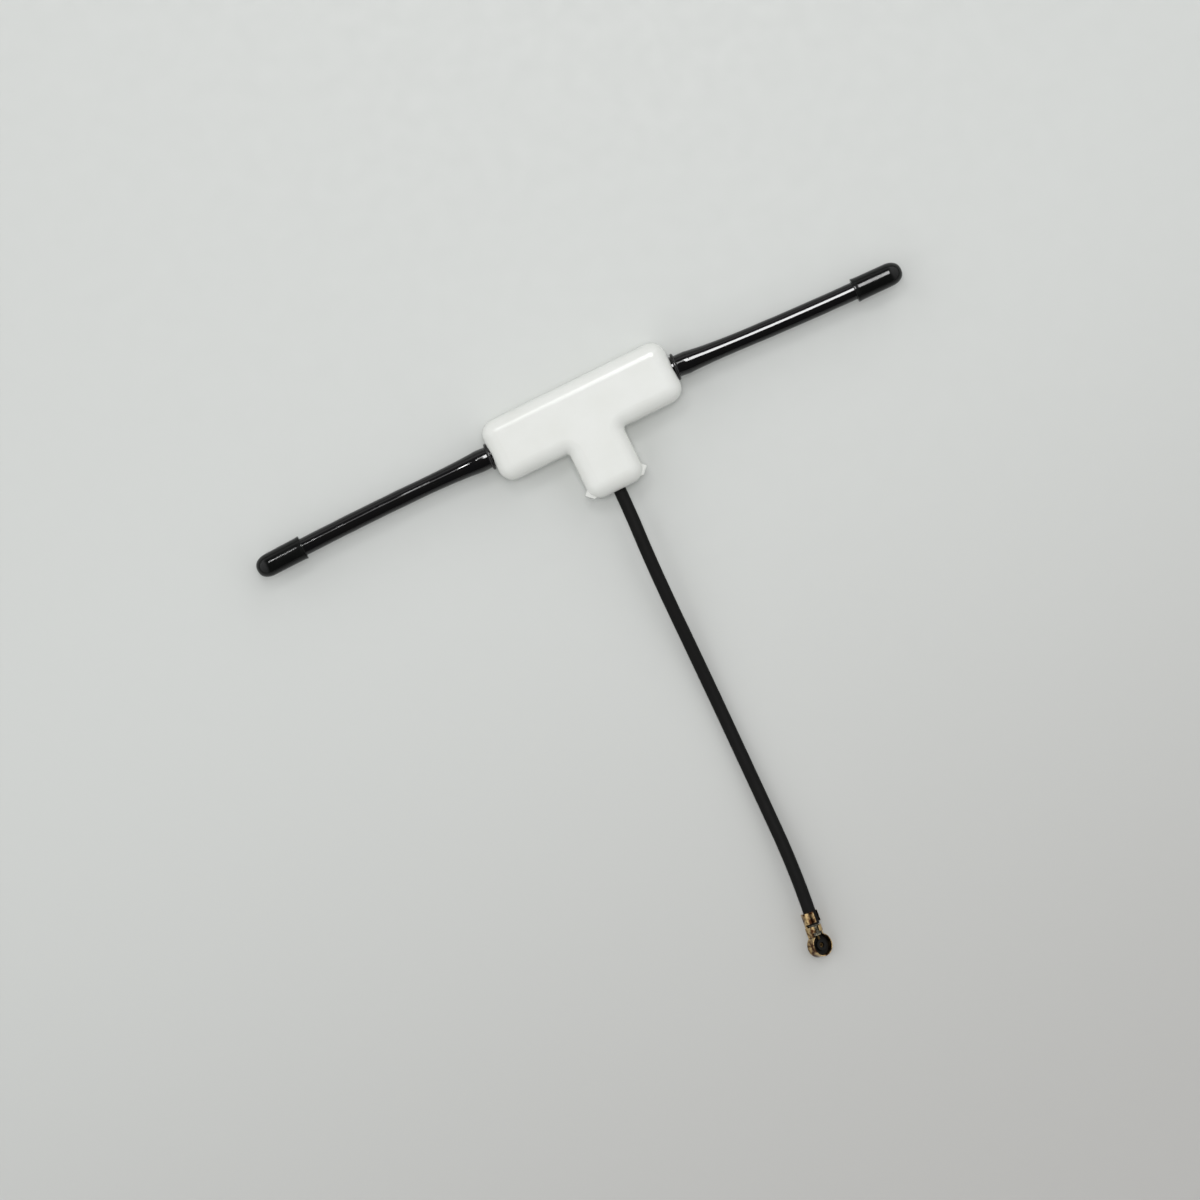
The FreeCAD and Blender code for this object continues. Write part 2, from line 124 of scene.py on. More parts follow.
class Grain(Enum):
    """Which way a finish's fine marks run, as the stretch of its pattern along X, Y and Z."""

    EVEN = (1.0, 1.0, 1.0)
    ALONG_ARM = (0.25, 1.0, 1.0)
    ALONG_LEAD = (1.0, 0.25, 1.0)


@dataclass(frozen=True)
class Finish:
    """A surface finish: two colours that drift into each other, a varied gloss, a fine relief.

    All three are noise in object space, so they hold still from every side.
    """

    name: str
    colour: str
    drift_colour: str
    drift_mm: float
    roughness: float
    roughness_swing: float
    relief_mm: float
    relief_depth_mm: float
    ior: float = 1.5
    metallic: float = 0.0
    grain: Grain = Grain.EVEN
    edge_mm: float = 0.02
    drift_span: tuple[float, float] = NOISE_SPAN
    sockets: dict = field(default_factory=dict)

    def make(self) -> bpy.types.Material:
        """Builds the material.

        Returns:
            The finished material.
        """
        material = bpy.data.materials.new(self.name)
        material.use_nodes = True
        tree = material.node_tree
        shader = tree.nodes["Principled BSDF"]
        place = add_node(tree, "ShaderNodeTexCoord").outputs["Object"]
        along_grain = add_node(tree, "ShaderNodeMapping", {"Scale": self.grain.value},
                               {"Vector": place}).outputs["Vector"]
        colour = self.colour_socket(tree, place)
        relief = self.relief_socket(tree, along_grain)
        gloss = self.gloss_socket(tree, along_grain)
        edge = add_node(tree, "ShaderNodeBevel", {"Radius": self.edge_mm * MM},
                        samples=EDGE_SAMPLES)
        bump = add_node(tree, "ShaderNodeBump",
                        {"Strength": 1.0, "Distance": self.relief_depth_mm * MM},
                        {"Height": relief, "Normal": edge.outputs["Normal"]})
        shader.inputs["IOR"].default_value = self.ior
        shader.inputs["Metallic"].default_value = self.metallic
        for socket, value in self.sockets.items():
            shader.inputs[socket].default_value = value
        tree.links.new(colour, shader.inputs["Base Color"])
        tree.links.new(gloss, shader.inputs["Roughness"])
        tree.links.new(bump.outputs["Normal"], shader.inputs["Normal"])
        return material

    def colour_socket(self, tree: bpy.types.NodeTree,
                      place: bpy.types.NodeSocket) -> bpy.types.NodeSocket:
        """Mixes the two colours by a soft cloud.

        Args:
            tree: The material's node tree.
            place: The object-space position.

        Returns:
            The colour output.
        """
        cloud = add_node(tree, "ShaderNodeTexNoise",
                         {"Scale": per_mm(self.drift_mm), "Detail": DRIFT_DETAIL},
                         {"Vector": place})
        ramp = add_node(tree, "ShaderNodeValToRGB", links={"Fac": cloud.outputs["Fac"]})
        for stop, position, code in zip(ramp.color_ramp.elements, self.drift_span,
                                        (self.colour, self.drift_colour)):
            stop.position = position
            stop.color = hex_to_linear(code)
        return ramp.outputs["Color"]

    def relief_socket(self, tree: bpy.types.NodeTree,
                      place: bpy.types.NodeSocket) -> bpy.types.NodeSocket:
        """Makes the height of the fine relief.

        Args:
            tree: The material's node tree.
            place: The position, stretched along the grain.

        Returns:
            The height output.
        """
        fine = add_node(tree, "ShaderNodeTexNoise",
                        {"Scale": per_mm(self.relief_mm), "Detail": RELIEF_DETAIL},
                        {"Vector": place})
        return fine.outputs["Fac"]

    def gloss_socket(self, tree: bpy.types.NodeTree,
                     place: bpy.types.NodeSocket) -> bpy.types.NodeSocket:
        """Makes the roughness, which swings to both sides of its middle value in patches.

        Args:
            tree: The material's node tree.
            place: The position, stretched along the grain.

        Returns:
            The roughness output.
        """
        patches = add_node(tree, "ShaderNodeTexNoise",
                           {"Scale": per_mm(self.relief_mm * GLOSS_PER_RELIEF),
                            "Detail": GLOSS_DETAIL},
                           {"Vector": place})
        return add_node(tree, "ShaderNodeMapRange", {
            "From Min": NOISE_SPAN[0],
            "From Max": NOISE_SPAN[1],
            "To Min": self.roughness - self.roughness_swing,
            "To Max": self.roughness + self.roughness_swing,
        }, {"Value": patches.outputs["Fac"]}).outputs["Result"]


@dataclass(frozen=True)
class WovenFinish(Finish):
    """A finish whose relief is two families of crossing strands, as in a braid or a cloth."""

    strand_mm: float = 0.12
    strand_turns_deg: tuple[float, float] = (45.0, -45.0)

    def relief_socket(self, tree: bpy.types.NodeTree,
                      place: bpy.types.NodeSocket) -> bpy.types.NodeSocket:
        """Crosses two families of bands.

        Args:
            tree: The material's node tree.
            place: The position, stretched along the grain.

        Returns:
            The height output.
        """
        bands = []
        for turn in self.strand_turns_deg:
            turned = add_node(tree, "ShaderNodeMapping",
                              {"Rotation": (0.0, 0.0, math.radians(turn))}, {"Vector": place})
            wave = add_node(tree, "ShaderNodeTexWave",
                            {"Scale": per_mm(self.strand_mm) / math.tau},
                            {"Vector": turned.outputs["Vector"]}, wave_profile="SIN")
            bands.append(wave.outputs["Fac"])
        return add_node(tree, "ShaderNodeMath", links={0: bands[0], 1: bands[1]},
                        operation="MAXIMUM").outputs["Value"]


@dataclass(frozen=True)
class FadingFinish(Finish):
    """A finish that fades along -Y to its drift colour, over drift_mm: painted shade, as on a sheet
    lit unevenly.
    """

    fade_start_mm: float = 5.0

    def colour_socket(self, tree: bpy.types.NodeTree,
                      place: bpy.types.NodeSocket) -> bpy.types.NodeSocket:
        """Mixes the two colours by the position along Y.

        Args:
            tree: The material's node tree.
            place: The object-space position.

        Returns:
            The colour output.
        """
        parts = add_node(tree, "ShaderNodeSeparateXYZ", links={"Vector": place})
        fade_end_mm = self.fade_start_mm - self.drift_mm
        along = add_node(tree, "ShaderNodeMapRange",
                         {"From Min": self.fade_start_mm * MM, "From Max": fade_end_mm * MM},
                         {"Value": parts.outputs["Y"]}, interpolation_type="SMOOTHSTEP")
        ramp = add_node(tree, "ShaderNodeValToRGB", links={"Fac": along.outputs["Result"]})
        for stop, code in zip(ramp.color_ramp.elements, (self.colour, self.drift_colour)):
            stop.color = hex_to_linear(code)
        return ramp.outputs["Color"]


# Moulded white ABS: soft gloss, a trace of warm and cool drift from the flow. The mould's spark
# texture is finer than a pixel here, so it is drawn three times as coarse.
ABS_WHITE = Finish(
    "abs_white_moulded", "#E5E6E2", "#E1E2DD", drift_mm=3.0, roughness=0.2, roughness_swing=0.04,
    relief_mm=0.16, relief_depth_mm=0.0005, ior=1.53, edge_mm=0.14,
    sockets={"Specular IOR Level": 0.3})
# Extruded polyolefin sleeve, drawn on hot: deep black and glossy, faint draw marks along the arm.
SLEEVE_BLACK = Finish(
    "polyolefin_sleeve_extruded", "#08080A", "#0C0B0A", drift_mm=1.4, roughness=0.06,
    roughness_swing=0.03, relief_mm=0.1, relief_depth_mm=0.0012, ior=1.5, grain=Grain.ALONG_ARM)
# Dip-moulded soft vinyl: satin black, slightly uneven skin, a low sheen.
CAP_BLACK = Finish(
    "vinyl_cap_dipped", "#0A0B0A", "#0E0F0E", drift_mm=0.9, roughness=0.14, roughness_swing=0.05,
    relief_mm=0.3, relief_depth_mm=0.006, ior=1.42, sockets={"Specular IOR Level": 0.35})
# Extruded fluoropolymer jacket with a matting agent: even black, no clear highlight.
JACKET_BLACK = Finish(
    "fluoropolymer_jacket_extruded", "#0B0B0A", "#0F0E0D", drift_mm=1.2, roughness=0.6,
    roughness_swing=0.06, relief_mm=0.09, relief_depth_mm=0.002, ior=1.35,
    grain=Grain.ALONG_LEAD, sockets={"Specular IOR Level": 0.2})
# Gold flash over stamped phosphor bronze: warm yellow, browner where it is thin, rolled lines.
GOLD_FLASH = Finish(
    "gold_flash_stamped", "#C8AC7C", "#4A2C1A", drift_mm=0.55, roughness=0.14,
    roughness_swing=0.06, relief_mm=0.16, relief_depth_mm=0.01, metallic=1.0,
    grain=Grain.ALONG_LEAD, drift_span=(0.42, 0.58))
# The same bronze in the contact and the core, drawn dull and dark brown: painted shade of the
# plug's deep mouth.
BRONZE_PAINTED_SHADE = Finish(
    "phosphor_bronze_rolled", "#5E4C30", "#43341F", drift_mm=0.2, roughness=0.42,
    roughness_swing=0.08, relief_mm=0.06, relief_depth_mm=0.002, metallic=1.0)
# Glass-filled liquid crystal polymer, moulded: near black and dull, as painted shade of the plug's
# mouth, with a fine speckle of fibre.
INSULATOR_DARK = Finish(
    "liquid_crystal_polymer_moulded", "#0D0C0A", "#171512", drift_mm=0.12, roughness=0.6,
    roughness_swing=0.08, relief_mm=0.06, relief_depth_mm=0.002, ior=1.5,
    sockets={"Specular IOR Level": 0.15})
# Tinned copper braid, woven of fine strands: dull grey, drawn darker than tin as painted shade of
# the gap between the plug's crimps.
BRAID_TINNED = WovenFinish(
    "copper_braid_tinned", "#67645A", "#3B382F", drift_mm=0.3, roughness=0.3,
    roughness_swing=0.08, relief_mm=0.06, relief_depth_mm=0.02, metallic=1.0, strand_mm=0.14)
# Extruded fluoropolymer core insulation: milky and waxy, drawn as a greyed tan with darker patches,
# painted shade of the gap between the plug's crimps.
DIELECTRIC_PAINTED_SHADE = Finish(
    "fluoropolymer_core_extruded", "#A29B86", "#6E664F", drift_mm=0.5, roughness=0.35,
    roughness_swing=0.05, relief_mm=0.08, relief_depth_mm=0.001, ior=1.36)
# Drawn brass wire: yellow, with draw lines along the arm.
BRASS_DRAWN = Finish(
    "brass_wire_drawn", "#CDA45A", "#B98F48", drift_mm=1.0, roughness=0.28, roughness_swing=0.07,
    relief_mm=0.06, relief_depth_mm=0.002, metallic=1.0, grain=Grain.ALONG_ARM)
# Etched copper foil: salmon, lightly browned by air.
COPPER_ETCHED = Finish(
    "copper_foil_etched", "#C9825C", "#A86848", drift_mm=0.7, roughness=0.32,
    roughness_swing=0.08, relief_mm=0.05, relief_depth_mm=0.0015, metallic=1.0)
# Glass laminate under a green solder mask: the cloth shows through as a faint weave.
LAMINATE_GREEN = WovenFinish(
    "glass_laminate_masked", "#1E5A34", "#194D2C", drift_mm=0.8, roughness=0.33,
    roughness_swing=0.05, relief_mm=0.1, relief_depth_mm=0.004, ior=1.55, strand_mm=0.4)
# Coated paper, calendered matte: pale grey, with painted shade of falling light that makes it a
# little darker and warmer towards the plug.
PAPER_PALE = FadingFinish(
    "coated_paper_matte", "#CDCFCC", "#B6B5B2", drift_mm=100.0, roughness=0.55,
    roughness_swing=0.05, relief_mm=0.4, relief_depth_mm=0.002)


class Finishes:
    """Makes each finish once and hands out its material."""

    def __init__(self) -> None:
        """Starts with no material made."""
        self.made: dict[str, bpy.types.Material] = {}

    def get(self, finish: Finish) -> bpy.types.Material:
        """Gives a finish's material, made on first use.

        Args:
            finish: The finish.

        Returns:
            Its material.
        """
        if finish.name not in self.made:
            self.made[finish.name] = finish.make()
        return self.made[finish.name]

    def dress(self, piece: bpy.types.Object, finish: Finish) -> None:
        """Gives a piece one finish all over.

        Args:
            piece: The mesh or curve object.
            finish: Its finish.
        """
        piece.data.materials.clear()
        piece.data.materials.append(self.get(finish))


# Meshes

def finish_mesh(name: str, mesh: bmesh.types.BMesh, sharp_deg: float = 40.0) -> bpy.types.Object:
    """Turns edited geometry into a smooth-shaded object of the scene.

    Args:
        name: The piece's name.
        mesh: The geometry, which is freed.
        sharp_deg: Edges that turn by more than this stay sharp.

    Returns:
        The linked object.
    """
    bmesh.ops.remove_doubles(mesh, verts=mesh.verts, dist=WELD_DISTANCE)
    bmesh.ops.recalc_face_normals(mesh, faces=mesh.faces)
    data = bpy.data.meshes.new(name)
    mesh.to_mesh(data)
    mesh.free()
    data.polygons.foreach_set("use_smooth", [True] * len(data.polygons))
    data.set_sharp_from_angle(angle=math.radians(sharp_deg))
    piece = bpy.data.objects.new(name, data)
    bpy.context.scene.collection.objects.link(piece)
    return piece


def lathe(mesh: bmesh.types.BMesh, profile: Profile,
          place: Callable[[float, float, float], Vector], segments: int, closed: bool) -> None:
    """Turns a profile of (station, radius) into skin round an axis.

    Args:
        mesh: Takes the new faces.
        profile: Stations along the axis with radii. A radius of zero is a pole.
        place: Gives the point for a station, a radius and a turn in radians.
        segments: Points round each ring.
        closed: Whether the last ring joins the first.
    """
    rings = []
    for station, radius in profile:
        count = segments if radius > 0 else 1
        rings.append([mesh.verts.new(place(station, radius, math.tau * i / segments))
                      for i in range(count)])
    pairs = list(zip(rings, rings[1:] + rings[:1]))
    for low, high in pairs if closed else pairs[:-1]:
        for i in range(segments):
            j = (i + 1) % segments
            corners = [low[i % len(low)], low[j % len(low)],
                       high[j % len(high)], high[i % len(high)]]
            unique = list(dict.fromkeys(corners))
            if len(unique) > 2:
                mesh.faces.new(unique)


def arc(centre: tuple[float, float], radius: float, start_deg: float, end_deg: float,
        steps: int) -> Profile:
    """Gives points of an arc in a profile's plane.

    Args:
        centre: Station and radius of the arc's centre.
        radius: The arc's own radius.
        start_deg: Angle of the first point, from the station axis.
        end_deg: Angle of the last point.
        steps: How many steps between them.

    Returns:
        The points from start to end.
    """
    turns = [math.radians(start_deg + (end_deg - start_deg) * i / steps)
             for i in range(steps + 1)]
    return [(centre[0] + radius * math.cos(t), centre[1] + radius * math.sin(t)) for t in turns]


# Sub-assemblies

@dataclass
class Housing:
    """The white two-shell housing and what is shut inside it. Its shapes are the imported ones."""

    shells: tuple[str, ...] = ("housing_top", "housing_base")
    inside: dict[str, Finish] = field(default_factory=lambda: {
        "feed_board": LAMINATE_GREEN, "left_pad": COPPER_ETCHED, "right_pad": COPPER_ETCHED,
        "left_element": BRASS_DRAWN, "right_element": BRASS_DRAWN, "feed_braid": BRAID_TINNED,
        "feed_dielectric": DIELECTRIC_PAINTED_SHADE, "feed_core": COPPER_ETCHED,
    })

    def dress(self, finishes: Finishes) -> None:
        """Gives the shells and the inner pieces their finishes.

        Args:
            finishes: Makes the materials.
        """
        for name in self.shells:
            finishes.dress(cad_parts[name], ABS_WHITE)
            LOG.info("%s: moulded white shell", name)
        for name, finish in self.inside.items():
            finishes.dress(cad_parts[name], finish)
            LOG.info("%s: %s", name, finish.name)


class Side(Enum):
    """The two arms, by the sign of their X."""

    LEFT = -1.0
    RIGHT = 1.0


@dataclass
class Arm:
    """One arm: a bowed glossy sleeve with a collar and a flared root, and a cap.

    A station is a distance out from the bar's end, along the arm.
    """

    side: Side
    lean_deg: float
    bow: float
    cap_start: float
    bar_end: float = 8.925
    lean_depth: float = 1.85
    axis_height: float = 1.9
    bore_radius: float = 0.53
    segments: int = 72
    # The sleeve's end in the housing, and its collar.
    tail: float = 1.2
    fit: float = 0.03
    collar_radius: float = 1.25
    collar_thickness: float = 0.28
    collar_steps: int = 10
    # The root swells a little behind the collar, then falls to the skin along a dying curve.
    root_radius: float = 1.01
    root_swell: float = 1.0
    root_drop: float = 0.035
    swell_shares: tuple[float, ...] = (0.05, 0.2, 0.35, 0.5, 0.65, 0.8, 0.9)
    flare_length: float = 6.0
    flare_decay: float = 2.4
    flare_steps: int = 28
    # The skin has a ripple of two waves, in radians to a millimetre, from being drawn on.
    skin_radius: float = 0.8
    skin_rows: int = 48
    ripple: float = 0.006
    ripple_waves: tuple[float, float] = (1.9, 0.53)
    ripple_phase: float = 0.7
    # The cap's socket, and the rolled lip and low rim at its mouth.
    cap_grip: float = 2.2
    cap_length: float = 4.55
    socket_radius: float = 0.83
    socket_depth: float = 2.53
    mouth_depth: float = 0.08
    mouth_flare: float = 0.05
    lip_radius: float = 0.06
    lip_steps: int = 5
    cap_rim_radius: float = 1.1
    cap_rim_width: float = 0.3
    rim_crest: float = 0.18
    rim_crest_drop: float = 0.012
    rim_foot_rise: float = 0.008
    # The cap's body thins towards its dome and is a little uneven from row to row.
    cap_radius: float = 1.06
    cap_taper: float = 0.02
    cap_rows: int = 14
    cap_waver: float = 0.004
    cap_waver_turn: float = 3.1
    cap_dome: float = 1.25
    dome_steps: int = 20
    dome_power: float = 0.8
    cap_sharp_deg: float = 50.0

    @property
    def label(self) -> str:
        """The arm's name, as its pieces carry it."""
        return self.side.name.lower()

    def place(self, station: float, radius: float, turn: float) -> Vector:
        """Gives a point of the arm on its axis, which bows as a parabola.

        Args:
            station: Distance out from the bar's end.
            radius: Distance from the axis.
            turn: Angle round the axis.

        Returns:
            The point in metres.
        """
        length = self.cap_start + self.cap_length
        share = min(max(station / length, 0.0), 1.0)
        slope = 4 * self.bow * (1 - 2 * share) / length if 0 < share < 1 else 0.0
        across = 4 * self.bow * share * (1 - share) + radius * math.cos(turn)
        out = station - slope * radius * math.cos(turn)
        lean = math.radians(self.lean_deg)
        x = out * math.cos(lean) + across * math.sin(lean)
        y = across * math.cos(lean) - out * math.sin(lean) - self.lean_depth * math.tan(lean)
        height = self.axis_height + radius * math.sin(turn)
        return Vector((self.side.value * (self.bar_end + x), y, height)) * MM

    def swell_profile(self, start: float) -> Profile:
        """Gives the root's slight swell.

        Args:
            start: Station of the collar's outer face.

        Returns:
            The points from the collar outwards.
        """
        return [(start + self.root_swell * share,
                 self.root_radius - self.root_drop * (1 - share) ** 2)
                for share in self.swell_shares]

    def flare_profile(self, start: float) -> Profile:
        """Gives the fall from the root's radius to the skin's, steep first and then slow.

        Args:
            start: Station of the swell's end.

        Returns:
            The points from the swell outwards.
        """
        rest = math.exp((start - self.flare_length) / self.flare_decay)
        points = []
        for i in range(self.flare_steps + 1):
            station = start + (self.flare_length - start) * i / self.flare_steps
            share = (math.exp((start - station) / self.flare_decay) - rest) / (1 - rest)
            radius = self.skin_radius + (self.root_radius - self.skin_radius) * share
            points.append((station, radius))
        return points

    def skin_profile(self, end: float) -> Profile:
        """Gives the long skin with its ripple.

        Args:
            end: Station of the sleeve's end in the cap.

        Returns:
            The points from the flare outwards.
        """
        points = []
        for i in range(1, self.skin_rows + 1):
            station = self.flare_length + (end - self.flare_length) * i / self.skin_rows
            ripple = (self.ripple * math.sin(station * self.ripple_waves[0] + self.ripple_phase)
                      * math.sin(station * self.ripple_waves[1]))
            points.append((station, self.skin_radius + ripple))
        return points

    def build_sleeve(self) -> bpy.types.Object:
        """Builds the sleeve: tail in the housing, rolled collar, flared root and long skin.

        Returns:
            The sleeve.
        """
        seat = self.fit + self.collar_radius * math.tan(math.radians(self.lean_deg))
        collar_end = seat + self.collar_thickness
        skin_end = self.cap_start + self.cap_grip
        roll = self.collar_thickness / 2
        roll_centre = (seat + roll, self.collar_radius - roll)
        profile: Profile = [
            (-self.tail, self.bore_radius),
            (-self.tail, self.root_radius),
            (seat, self.root_radius),
            *arc(roll_centre, roll, 180, 0, self.collar_steps),
            *self.swell_profile(collar_end),
            *self.flare_profile(collar_end + self.root_swell),
            *self.skin_profile(skin_end),
            (skin_end, self.bore_radius),
        ]
        mesh = bmesh.new()
        lathe(mesh, profile, self.place, self.segments, closed=True)
        return finish_mesh(f"{self.label}_sleeve_drawn", mesh)

    def mouth_profile(self) -> Profile:
        """Gives the cap's socket, rolled lip and low rim.

        Returns:
            The points from the socket's floor to the rim's foot.
        """
        start = self.cap_start
        socket_end = start + self.socket_depth
        lip = self.lip_radius
        return [
            (socket_end, 0.0),
            (socket_end, self.socket_radius),
            (start + self.mouth_depth, self.socket_radius),
            (start, self.socket_radius + self.mouth_flare),
            *arc((start + lip, self.cap_rim_radius - lip), lip, 180, 90, self.lip_steps),
            (start + self.rim_crest, self.cap_rim_radius - self.rim_crest_drop),
            (start + self.cap_rim_width, self.cap_radius + self.rim_foot_rise),
        ]

    def build_cap(self) -> bpy.types.Object:
        """Builds the cap: a socket, a flared lip at its mouth, a long body and a domed end.

        Returns:
            The cap.
        """
        end = self.cap_start + self.cap_length
        body_start = self.cap_start + 2 * self.cap_rim_width
        body_end = end - self.cap_dome
        profile = self.mouth_profile()
        profile.append((body_start, self.cap_radius))
        for i in range(1, self.cap_rows):
            share = i / self.cap_rows
            waver = self.cap_waver * math.sin(self.cap_waver_turn * i)
            profile.append((body_start + (body_end - body_start) * share,
                            self.cap_radius - self.cap_taper * share + waver))
        for i in range(self.dome_steps):
            turn = math.pi / 2 * i / self.dome_steps
            profile.append((body_end + self.cap_dome * math.sin(turn),
                            (self.cap_radius - self.cap_taper) * math.cos(turn) ** self.dome_power))
        profile.append((end, 0.0))
        mesh = bmesh.new()
        lathe(mesh, profile, self.place, self.segments, closed=False)
        return finish_mesh(f"{self.label}_cap_dipped", mesh, self.cap_sharp_deg)

    def dress(self, finishes: Finishes) -> None:
        """Builds both pieces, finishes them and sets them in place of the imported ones.

        Args:
            finishes: Makes the materials.
        """
        for piece, finish, slot, node in (
                (self.build_sleeve(), SLEEVE_BLACK, "black_sleeve", f"{self.label}_sleeve"),
                (self.build_cap(), CAP_BLACK, "black_cap", f"{self.label}_cap")):
            finishes.dress(piece, finish)
            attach(piece, BODY)
            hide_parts(node)
            LOG.info("%s stands for %s", piece.name, node)


@dataclass
class Lead:
    """The thin coaxial lead, one smooth line that the route's points draw."""

    diameter: float = 1.13
    length: float = 48.2
    route: tuple[Point, ...] = (
        (0.0, -1.75, 1.9),
        (0.0, -8.3, 1.9),
        (-0.44, -15.4, 1.7),
        (-0.55, -26.0, 0.61),
        (-0.76, -36.0, 0.61),
        (-1.0, -45.4, 1.17),
        (-1.64, -49.84, 1.17),
    )
    order: int = 3
    steps_per_point: int = 24
    ring_resolution: int = 8

    def build(self) -> bpy.types.Object:
        """Builds the lead's curve.

        Returns:
            The curve object.
        """
        data = bpy.data.curves.new("coax_lead", "CURVE")
        data.dimensions = "3D"
        data.bevel_depth = self.diameter / 2 * MM
        data.bevel_resolution = self.ring_resolution
        data.resolution_u = self.steps_per_point
        data.use_fill_caps = True
        spline = data.splines.new("NURBS")
        spline.points.add(len(self.route) - 1)
        for point, (x, y, z) in zip(spline.points, self.route):
            point.co = (x * MM, y * MM, z * MM, 1.0)
        spline.order_u = self.order
        spline.use_endpoint_u = True
        lead = bpy.data.objects.new("coax_lead", data)
        bpy.context.scene.collection.objects.link(lead)
        return lead

    def dress(self, finishes: Finishes, plug: Sequence[bpy.types.Object]) -> None:
        """Args:
            finishes: Makes the materials.
            plug: The pieces on its far end. Not used.
        """
        lead = self.build()
        finishes.dress(lead, JACKET_BLACK)
        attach(lead, BODY)
        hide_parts("coax_cable")
        LOG.info("%s stands for coax_cable", lead.name)


@dataclass
class Plug:
    """The micro coaxial plug on the lead's end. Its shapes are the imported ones."""

    # Darker finishes here are painted shade: the contact, core and insulator for the plug's mouth,
    # the braid and core insulation for the gap between the crimps.
    finishes_by_node: dict[str, Finish] = field(default_factory=lambda: {
        "plug_shell": GOLD_FLASH, "plug_insulator": INSULATOR_DARK, "plug_contact": BRONZE_PAINTED_SHADE,
        "plug_braid": BRAID_TINNED, "plug_dielectric": DIELECTRIC_PAINTED_SHADE, "plug_core": BRONZE_PAINTED_SHADE,
    })

    def dress(self, finishes: Finishes) -> list[bpy.types.Object]:
        """Gives the plug's pieces their finishes.

        Args:
            finishes: Makes the materials.

        Returns:
            The plug's pieces.
        """
        pieces = []
        for name, finish in self.finishes_by_node.items():
            finishes.dress(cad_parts[name], finish)
            pieces.append(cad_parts[name])
            LOG.info("%s: %s", name, finish.name)
        return pieces


# Camera, floor and light

class LampUse(Enum):
    """What a lamp is for, as whether it lights surfaces and whether it shows in gloss."""

    FULL = (True, True)
    FILL = (True, False)
    GLINT = (False, True)


@dataclass(frozen=True)
class SoftBox:
    """A flat lamp that hangs above the object or behind it, facing it.

    It is shifted aside along +X and tilted from overhead towards +Y. Its width is along X. Its
    radiance is how bright its face is, where white paper in the scene is about one.
    """

    name: str
    aside: float
    tilt_deg: float
    width: float
    depth: float
    radiance: float
    use: LampUse = LampUse.FULL


@dataclass(frozen=True)
class SkyGlow:
    """A part of the sky's light that grows along one axis of the direction.

    It gives low up to the start of its range, high from the end of it, and a soft step between.
    """

    axis: str
    start: float
    end: float
    low: float
    high: float


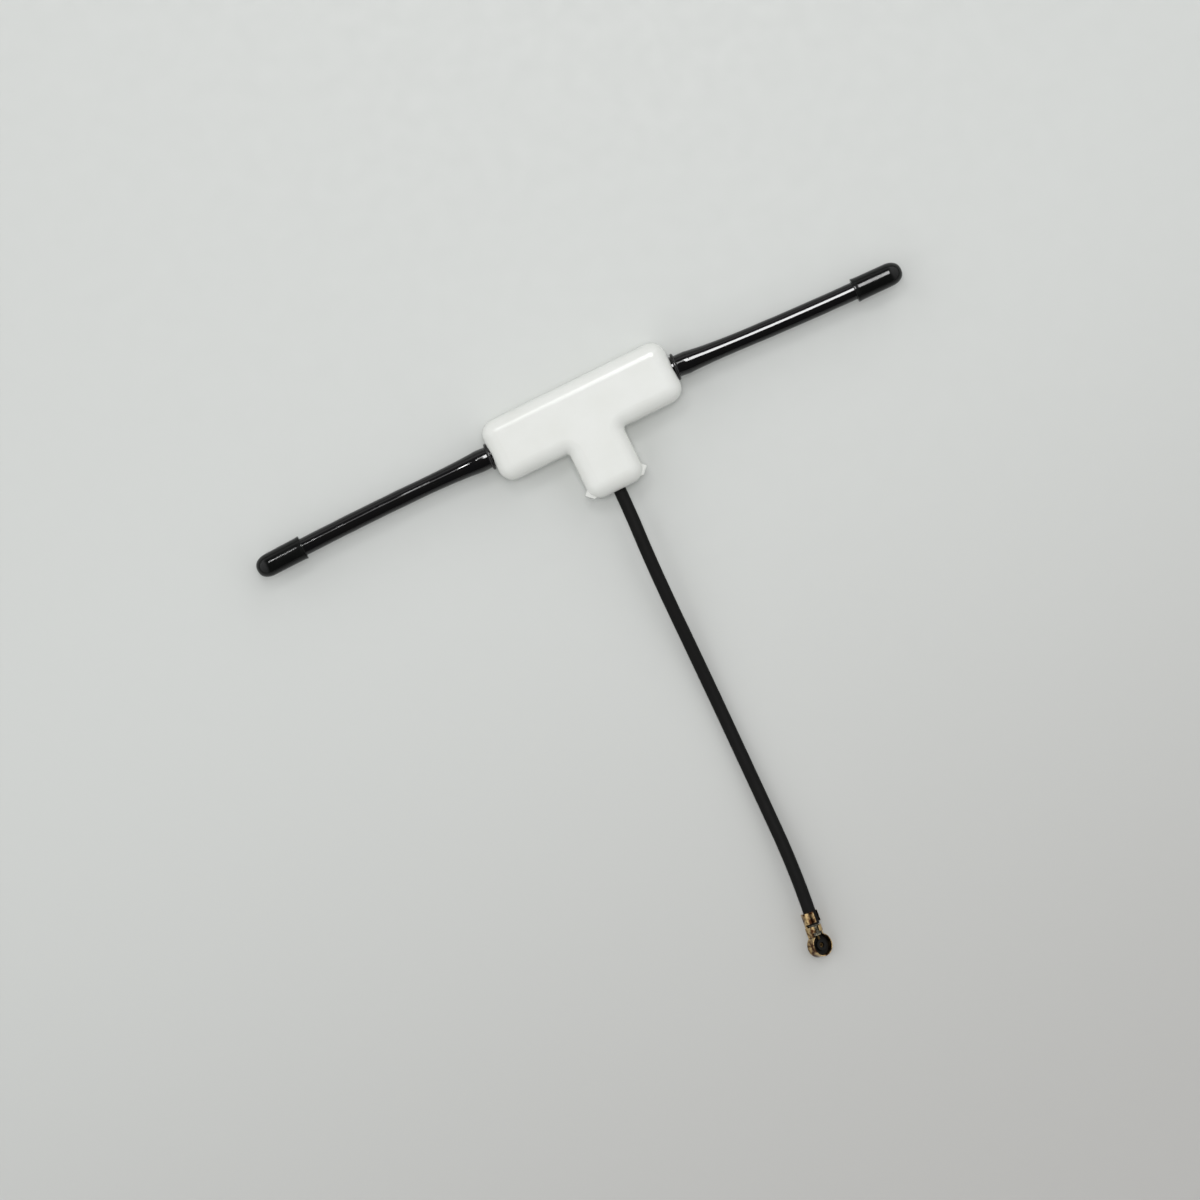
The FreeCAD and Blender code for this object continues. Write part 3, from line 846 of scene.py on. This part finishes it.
@dataclass
class Studio:
    """Camera, floor and light."""

    image_pixels: float = 1200.0
    pixels_per_mm: float = 11.3
    view_height: float = 400.0
    object_height: float = 1.9
    heading_deg: float = -26.2
    clip_start: float = 10.0
    floor_radius: float = 1700.0
    floor_segments: int = 96
    cove_radius: float = 300.0
    cove_steps: int = 12
    wall_height: float = 450.0
    lamp_reach: float = 420.0
    # In order: even light from overhead, the housing's streak, the left arm's faint line, the
    # right arm's bright one, and the streak on the left cap.
    lamps: tuple[SoftBox, ...] = (
        SoftBox("top_box", aside=VIEW_CENTRE[0], tilt_deg=0.0, width=120.0, depth=120.0,
                radiance=11.0, use=LampUse.FILL),
        SoftBox("bar_box", aside=3.0, tilt_deg=28.0, width=60.0, depth=80.0, radiance=7.5),
        SoftBox("side_box", aside=-40.0, tilt_deg=21.0, width=64.0, depth=60.0, radiance=2.3),
        SoftBox("right_card", aside=73.0, tilt_deg=21.0, width=94.0, depth=200.0,
                radiance=21.0, use=LampUse.GLINT),
        SoftBox("left_card", aside=-63.0, tilt_deg=23.0, width=14.0, depth=56.0,
                radiance=42.0, use=LampUse.GLINT),
    )
    # A bright side over each arm's end, a dark band between them and a dim window behind.
    glows: tuple[SkyGlow, ...] = (
        SkyGlow("X", start=0.2, end=0.5, low=0.1, high=1.12),
        SkyGlow("X", start=-0.2, end=-0.5, low=0.0, high=1.05),
        SkyGlow("Y", start=0.75, end=0.95, low=0.0, high=0.45),
    )
    sky_colour: str = "#FDFEFF"
    # How much brighter than its middle the sky is towards +Y, and how far out that is reached.
    sky_lean: float = 0.35
    sky_lean_reach: float = 0.7

    def build_camera(self) -> None:
        """Puts the camera straight above the middle of the picture."""
        data = bpy.data.cameras.new("camera")
        half_width = self.image_pixels / self.pixels_per_mm / 2
        data.sensor_fit = "HORIZONTAL"
        data.angle = 2 * math.atan(half_width / (self.view_height - self.object_height))
        data.clip_start = self.clip_start * MM
        camera = bpy.data.objects.new("camera", data)
        camera.location = (VIEW_CENTRE[0] * MM, VIEW_CENTRE[1] * MM, self.view_height * MM)
        camera.rotation_euler = (0.0, 0.0, math.radians(self.heading_deg))
        bpy.context.scene.collection.objects.link(camera)
        bpy.context.scene.camera = camera

    def build_floor(self) -> None:
        """Lays a pale round sheet under the object that curves up into a low wall all round."""
        profile: Profile = [
            (0.0, 0.0),
            (0.0, self.floor_radius),
            *arc((self.cove_radius, self.floor_radius), self.cove_radius, 180, 90,
                 self.cove_steps),
            (self.wall_height, self.floor_radius + self.cove_radius),
        ]

        def place(height: float, radius: float, turn: float) -> Vector:
            """Gives a point of the floor round the vertical axis, in metres."""
            return Vector((radius * math.cos(turn), radius * math.sin(turn), height)) * MM

        mesh = bmesh.new()
        lathe(mesh, profile, place, self.floor_segments, closed=False)
        floor = finish_mesh("floor", mesh)
        floor.data.materials.append(PAPER_PALE.make())

    def hang_lamp(self, box: SoftBox) -> None:
        """Hangs a soft box.

        Args:
            box: What it is like and where it hangs.
        """
        data = bpy.data.lights.new(box.name, "AREA")
        data.shape = "RECTANGLE"
        data.size, data.size_y = box.width * MM, box.depth * MM
        data.energy = box.radiance * math.pi * data.size * data.size_y
        lamp = bpy.data.objects.new(box.name, data)
        angle = math.radians(box.tilt_deg)
        back, up = self.lamp_reach * math.sin(angle), self.lamp_reach * math.cos(angle)
        lamp.location = Vector((box.aside, back, up)) * MM
        lamp.rotation_euler = (-angle, 0.0, 0.0)
        lamp.visible_diffuse, lamp.visible_glossy = box.use.value
        bpy.context.scene.collection.objects.link(lamp)

    def build_sky(self) -> None:
        """Gives the sky its glows, brighter towards +Y, where the lamps hang."""
        world = bpy.data.worlds.new("two_sided_sky")
        bpy.context.scene.world = world
        world.use_nodes = True
        tree = world.node_tree
        direction = add_node(tree, "ShaderNodeTexCoord").outputs["Generated"]
        parts = add_node(tree, "ShaderNodeSeparateXYZ", links={"Vector": direction})
        strength = None
        for glow in self.glows:
            light = add_node(tree, "ShaderNodeMapRange",
                             {"From Min": glow.start, "From Max": glow.end,
                              "To Min": glow.low, "To Max": glow.high},
                             {"Value": parts.outputs[glow.axis]},
                             interpolation_type="SMOOTHSTEP").outputs["Result"]
            strength = light if strength is None else add_node(
                tree, "ShaderNodeMath", links={0: strength, 1: light},
                operation="ADD").outputs["Value"]
        lean = add_node(tree, "ShaderNodeMapRange",
                        {"From Min": -self.sky_lean_reach, "From Max": self.sky_lean_reach,
                         "To Min": 1 - self.sky_lean, "To Max": 1 + self.sky_lean},
                        {"Value": parts.outputs["Y"]}).outputs["Result"]
        strength = add_node(tree, "ShaderNodeMath", links={0: strength, 1: lean},
                            operation="MULTIPLY").outputs["Value"]
        sky = tree.nodes["Background"]
        sky.inputs["Color"].default_value = hex_to_linear(self.sky_colour)
        tree.links.new(strength, sky.inputs["Strength"])

    def build(self) -> None:
        """Builds camera, floor and light, and sets the plain view transform."""
        self.build_camera()
        self.build_floor()
        for box in self.lamps:
            self.hang_lamp(box)
        self.build_sky()
        bpy.context.scene.view_settings.view_transform = "Standard"


def main() -> None:
    """Builds the scene in order: camera, floor and light, the lead's plug, lead, housing, arms."""
    logging.basicConfig(level=logging.INFO, format="%(name)s: %(message)s")
    finishes = Finishes()
    Studio().build()
    plug = Plug().dress(finishes)
    Lead().dress(finishes, plug)
    Housing().dress(finishes)
    Arm(Side.LEFT, lean_deg=0.0, bow=0.18, cap_start=18.5).dress(finishes)
    Arm(Side.RIGHT, lean_deg=2.8, bow=-0.18, cap_start=17.45).dress(finishes)


if __name__ == "__main__":
    main()
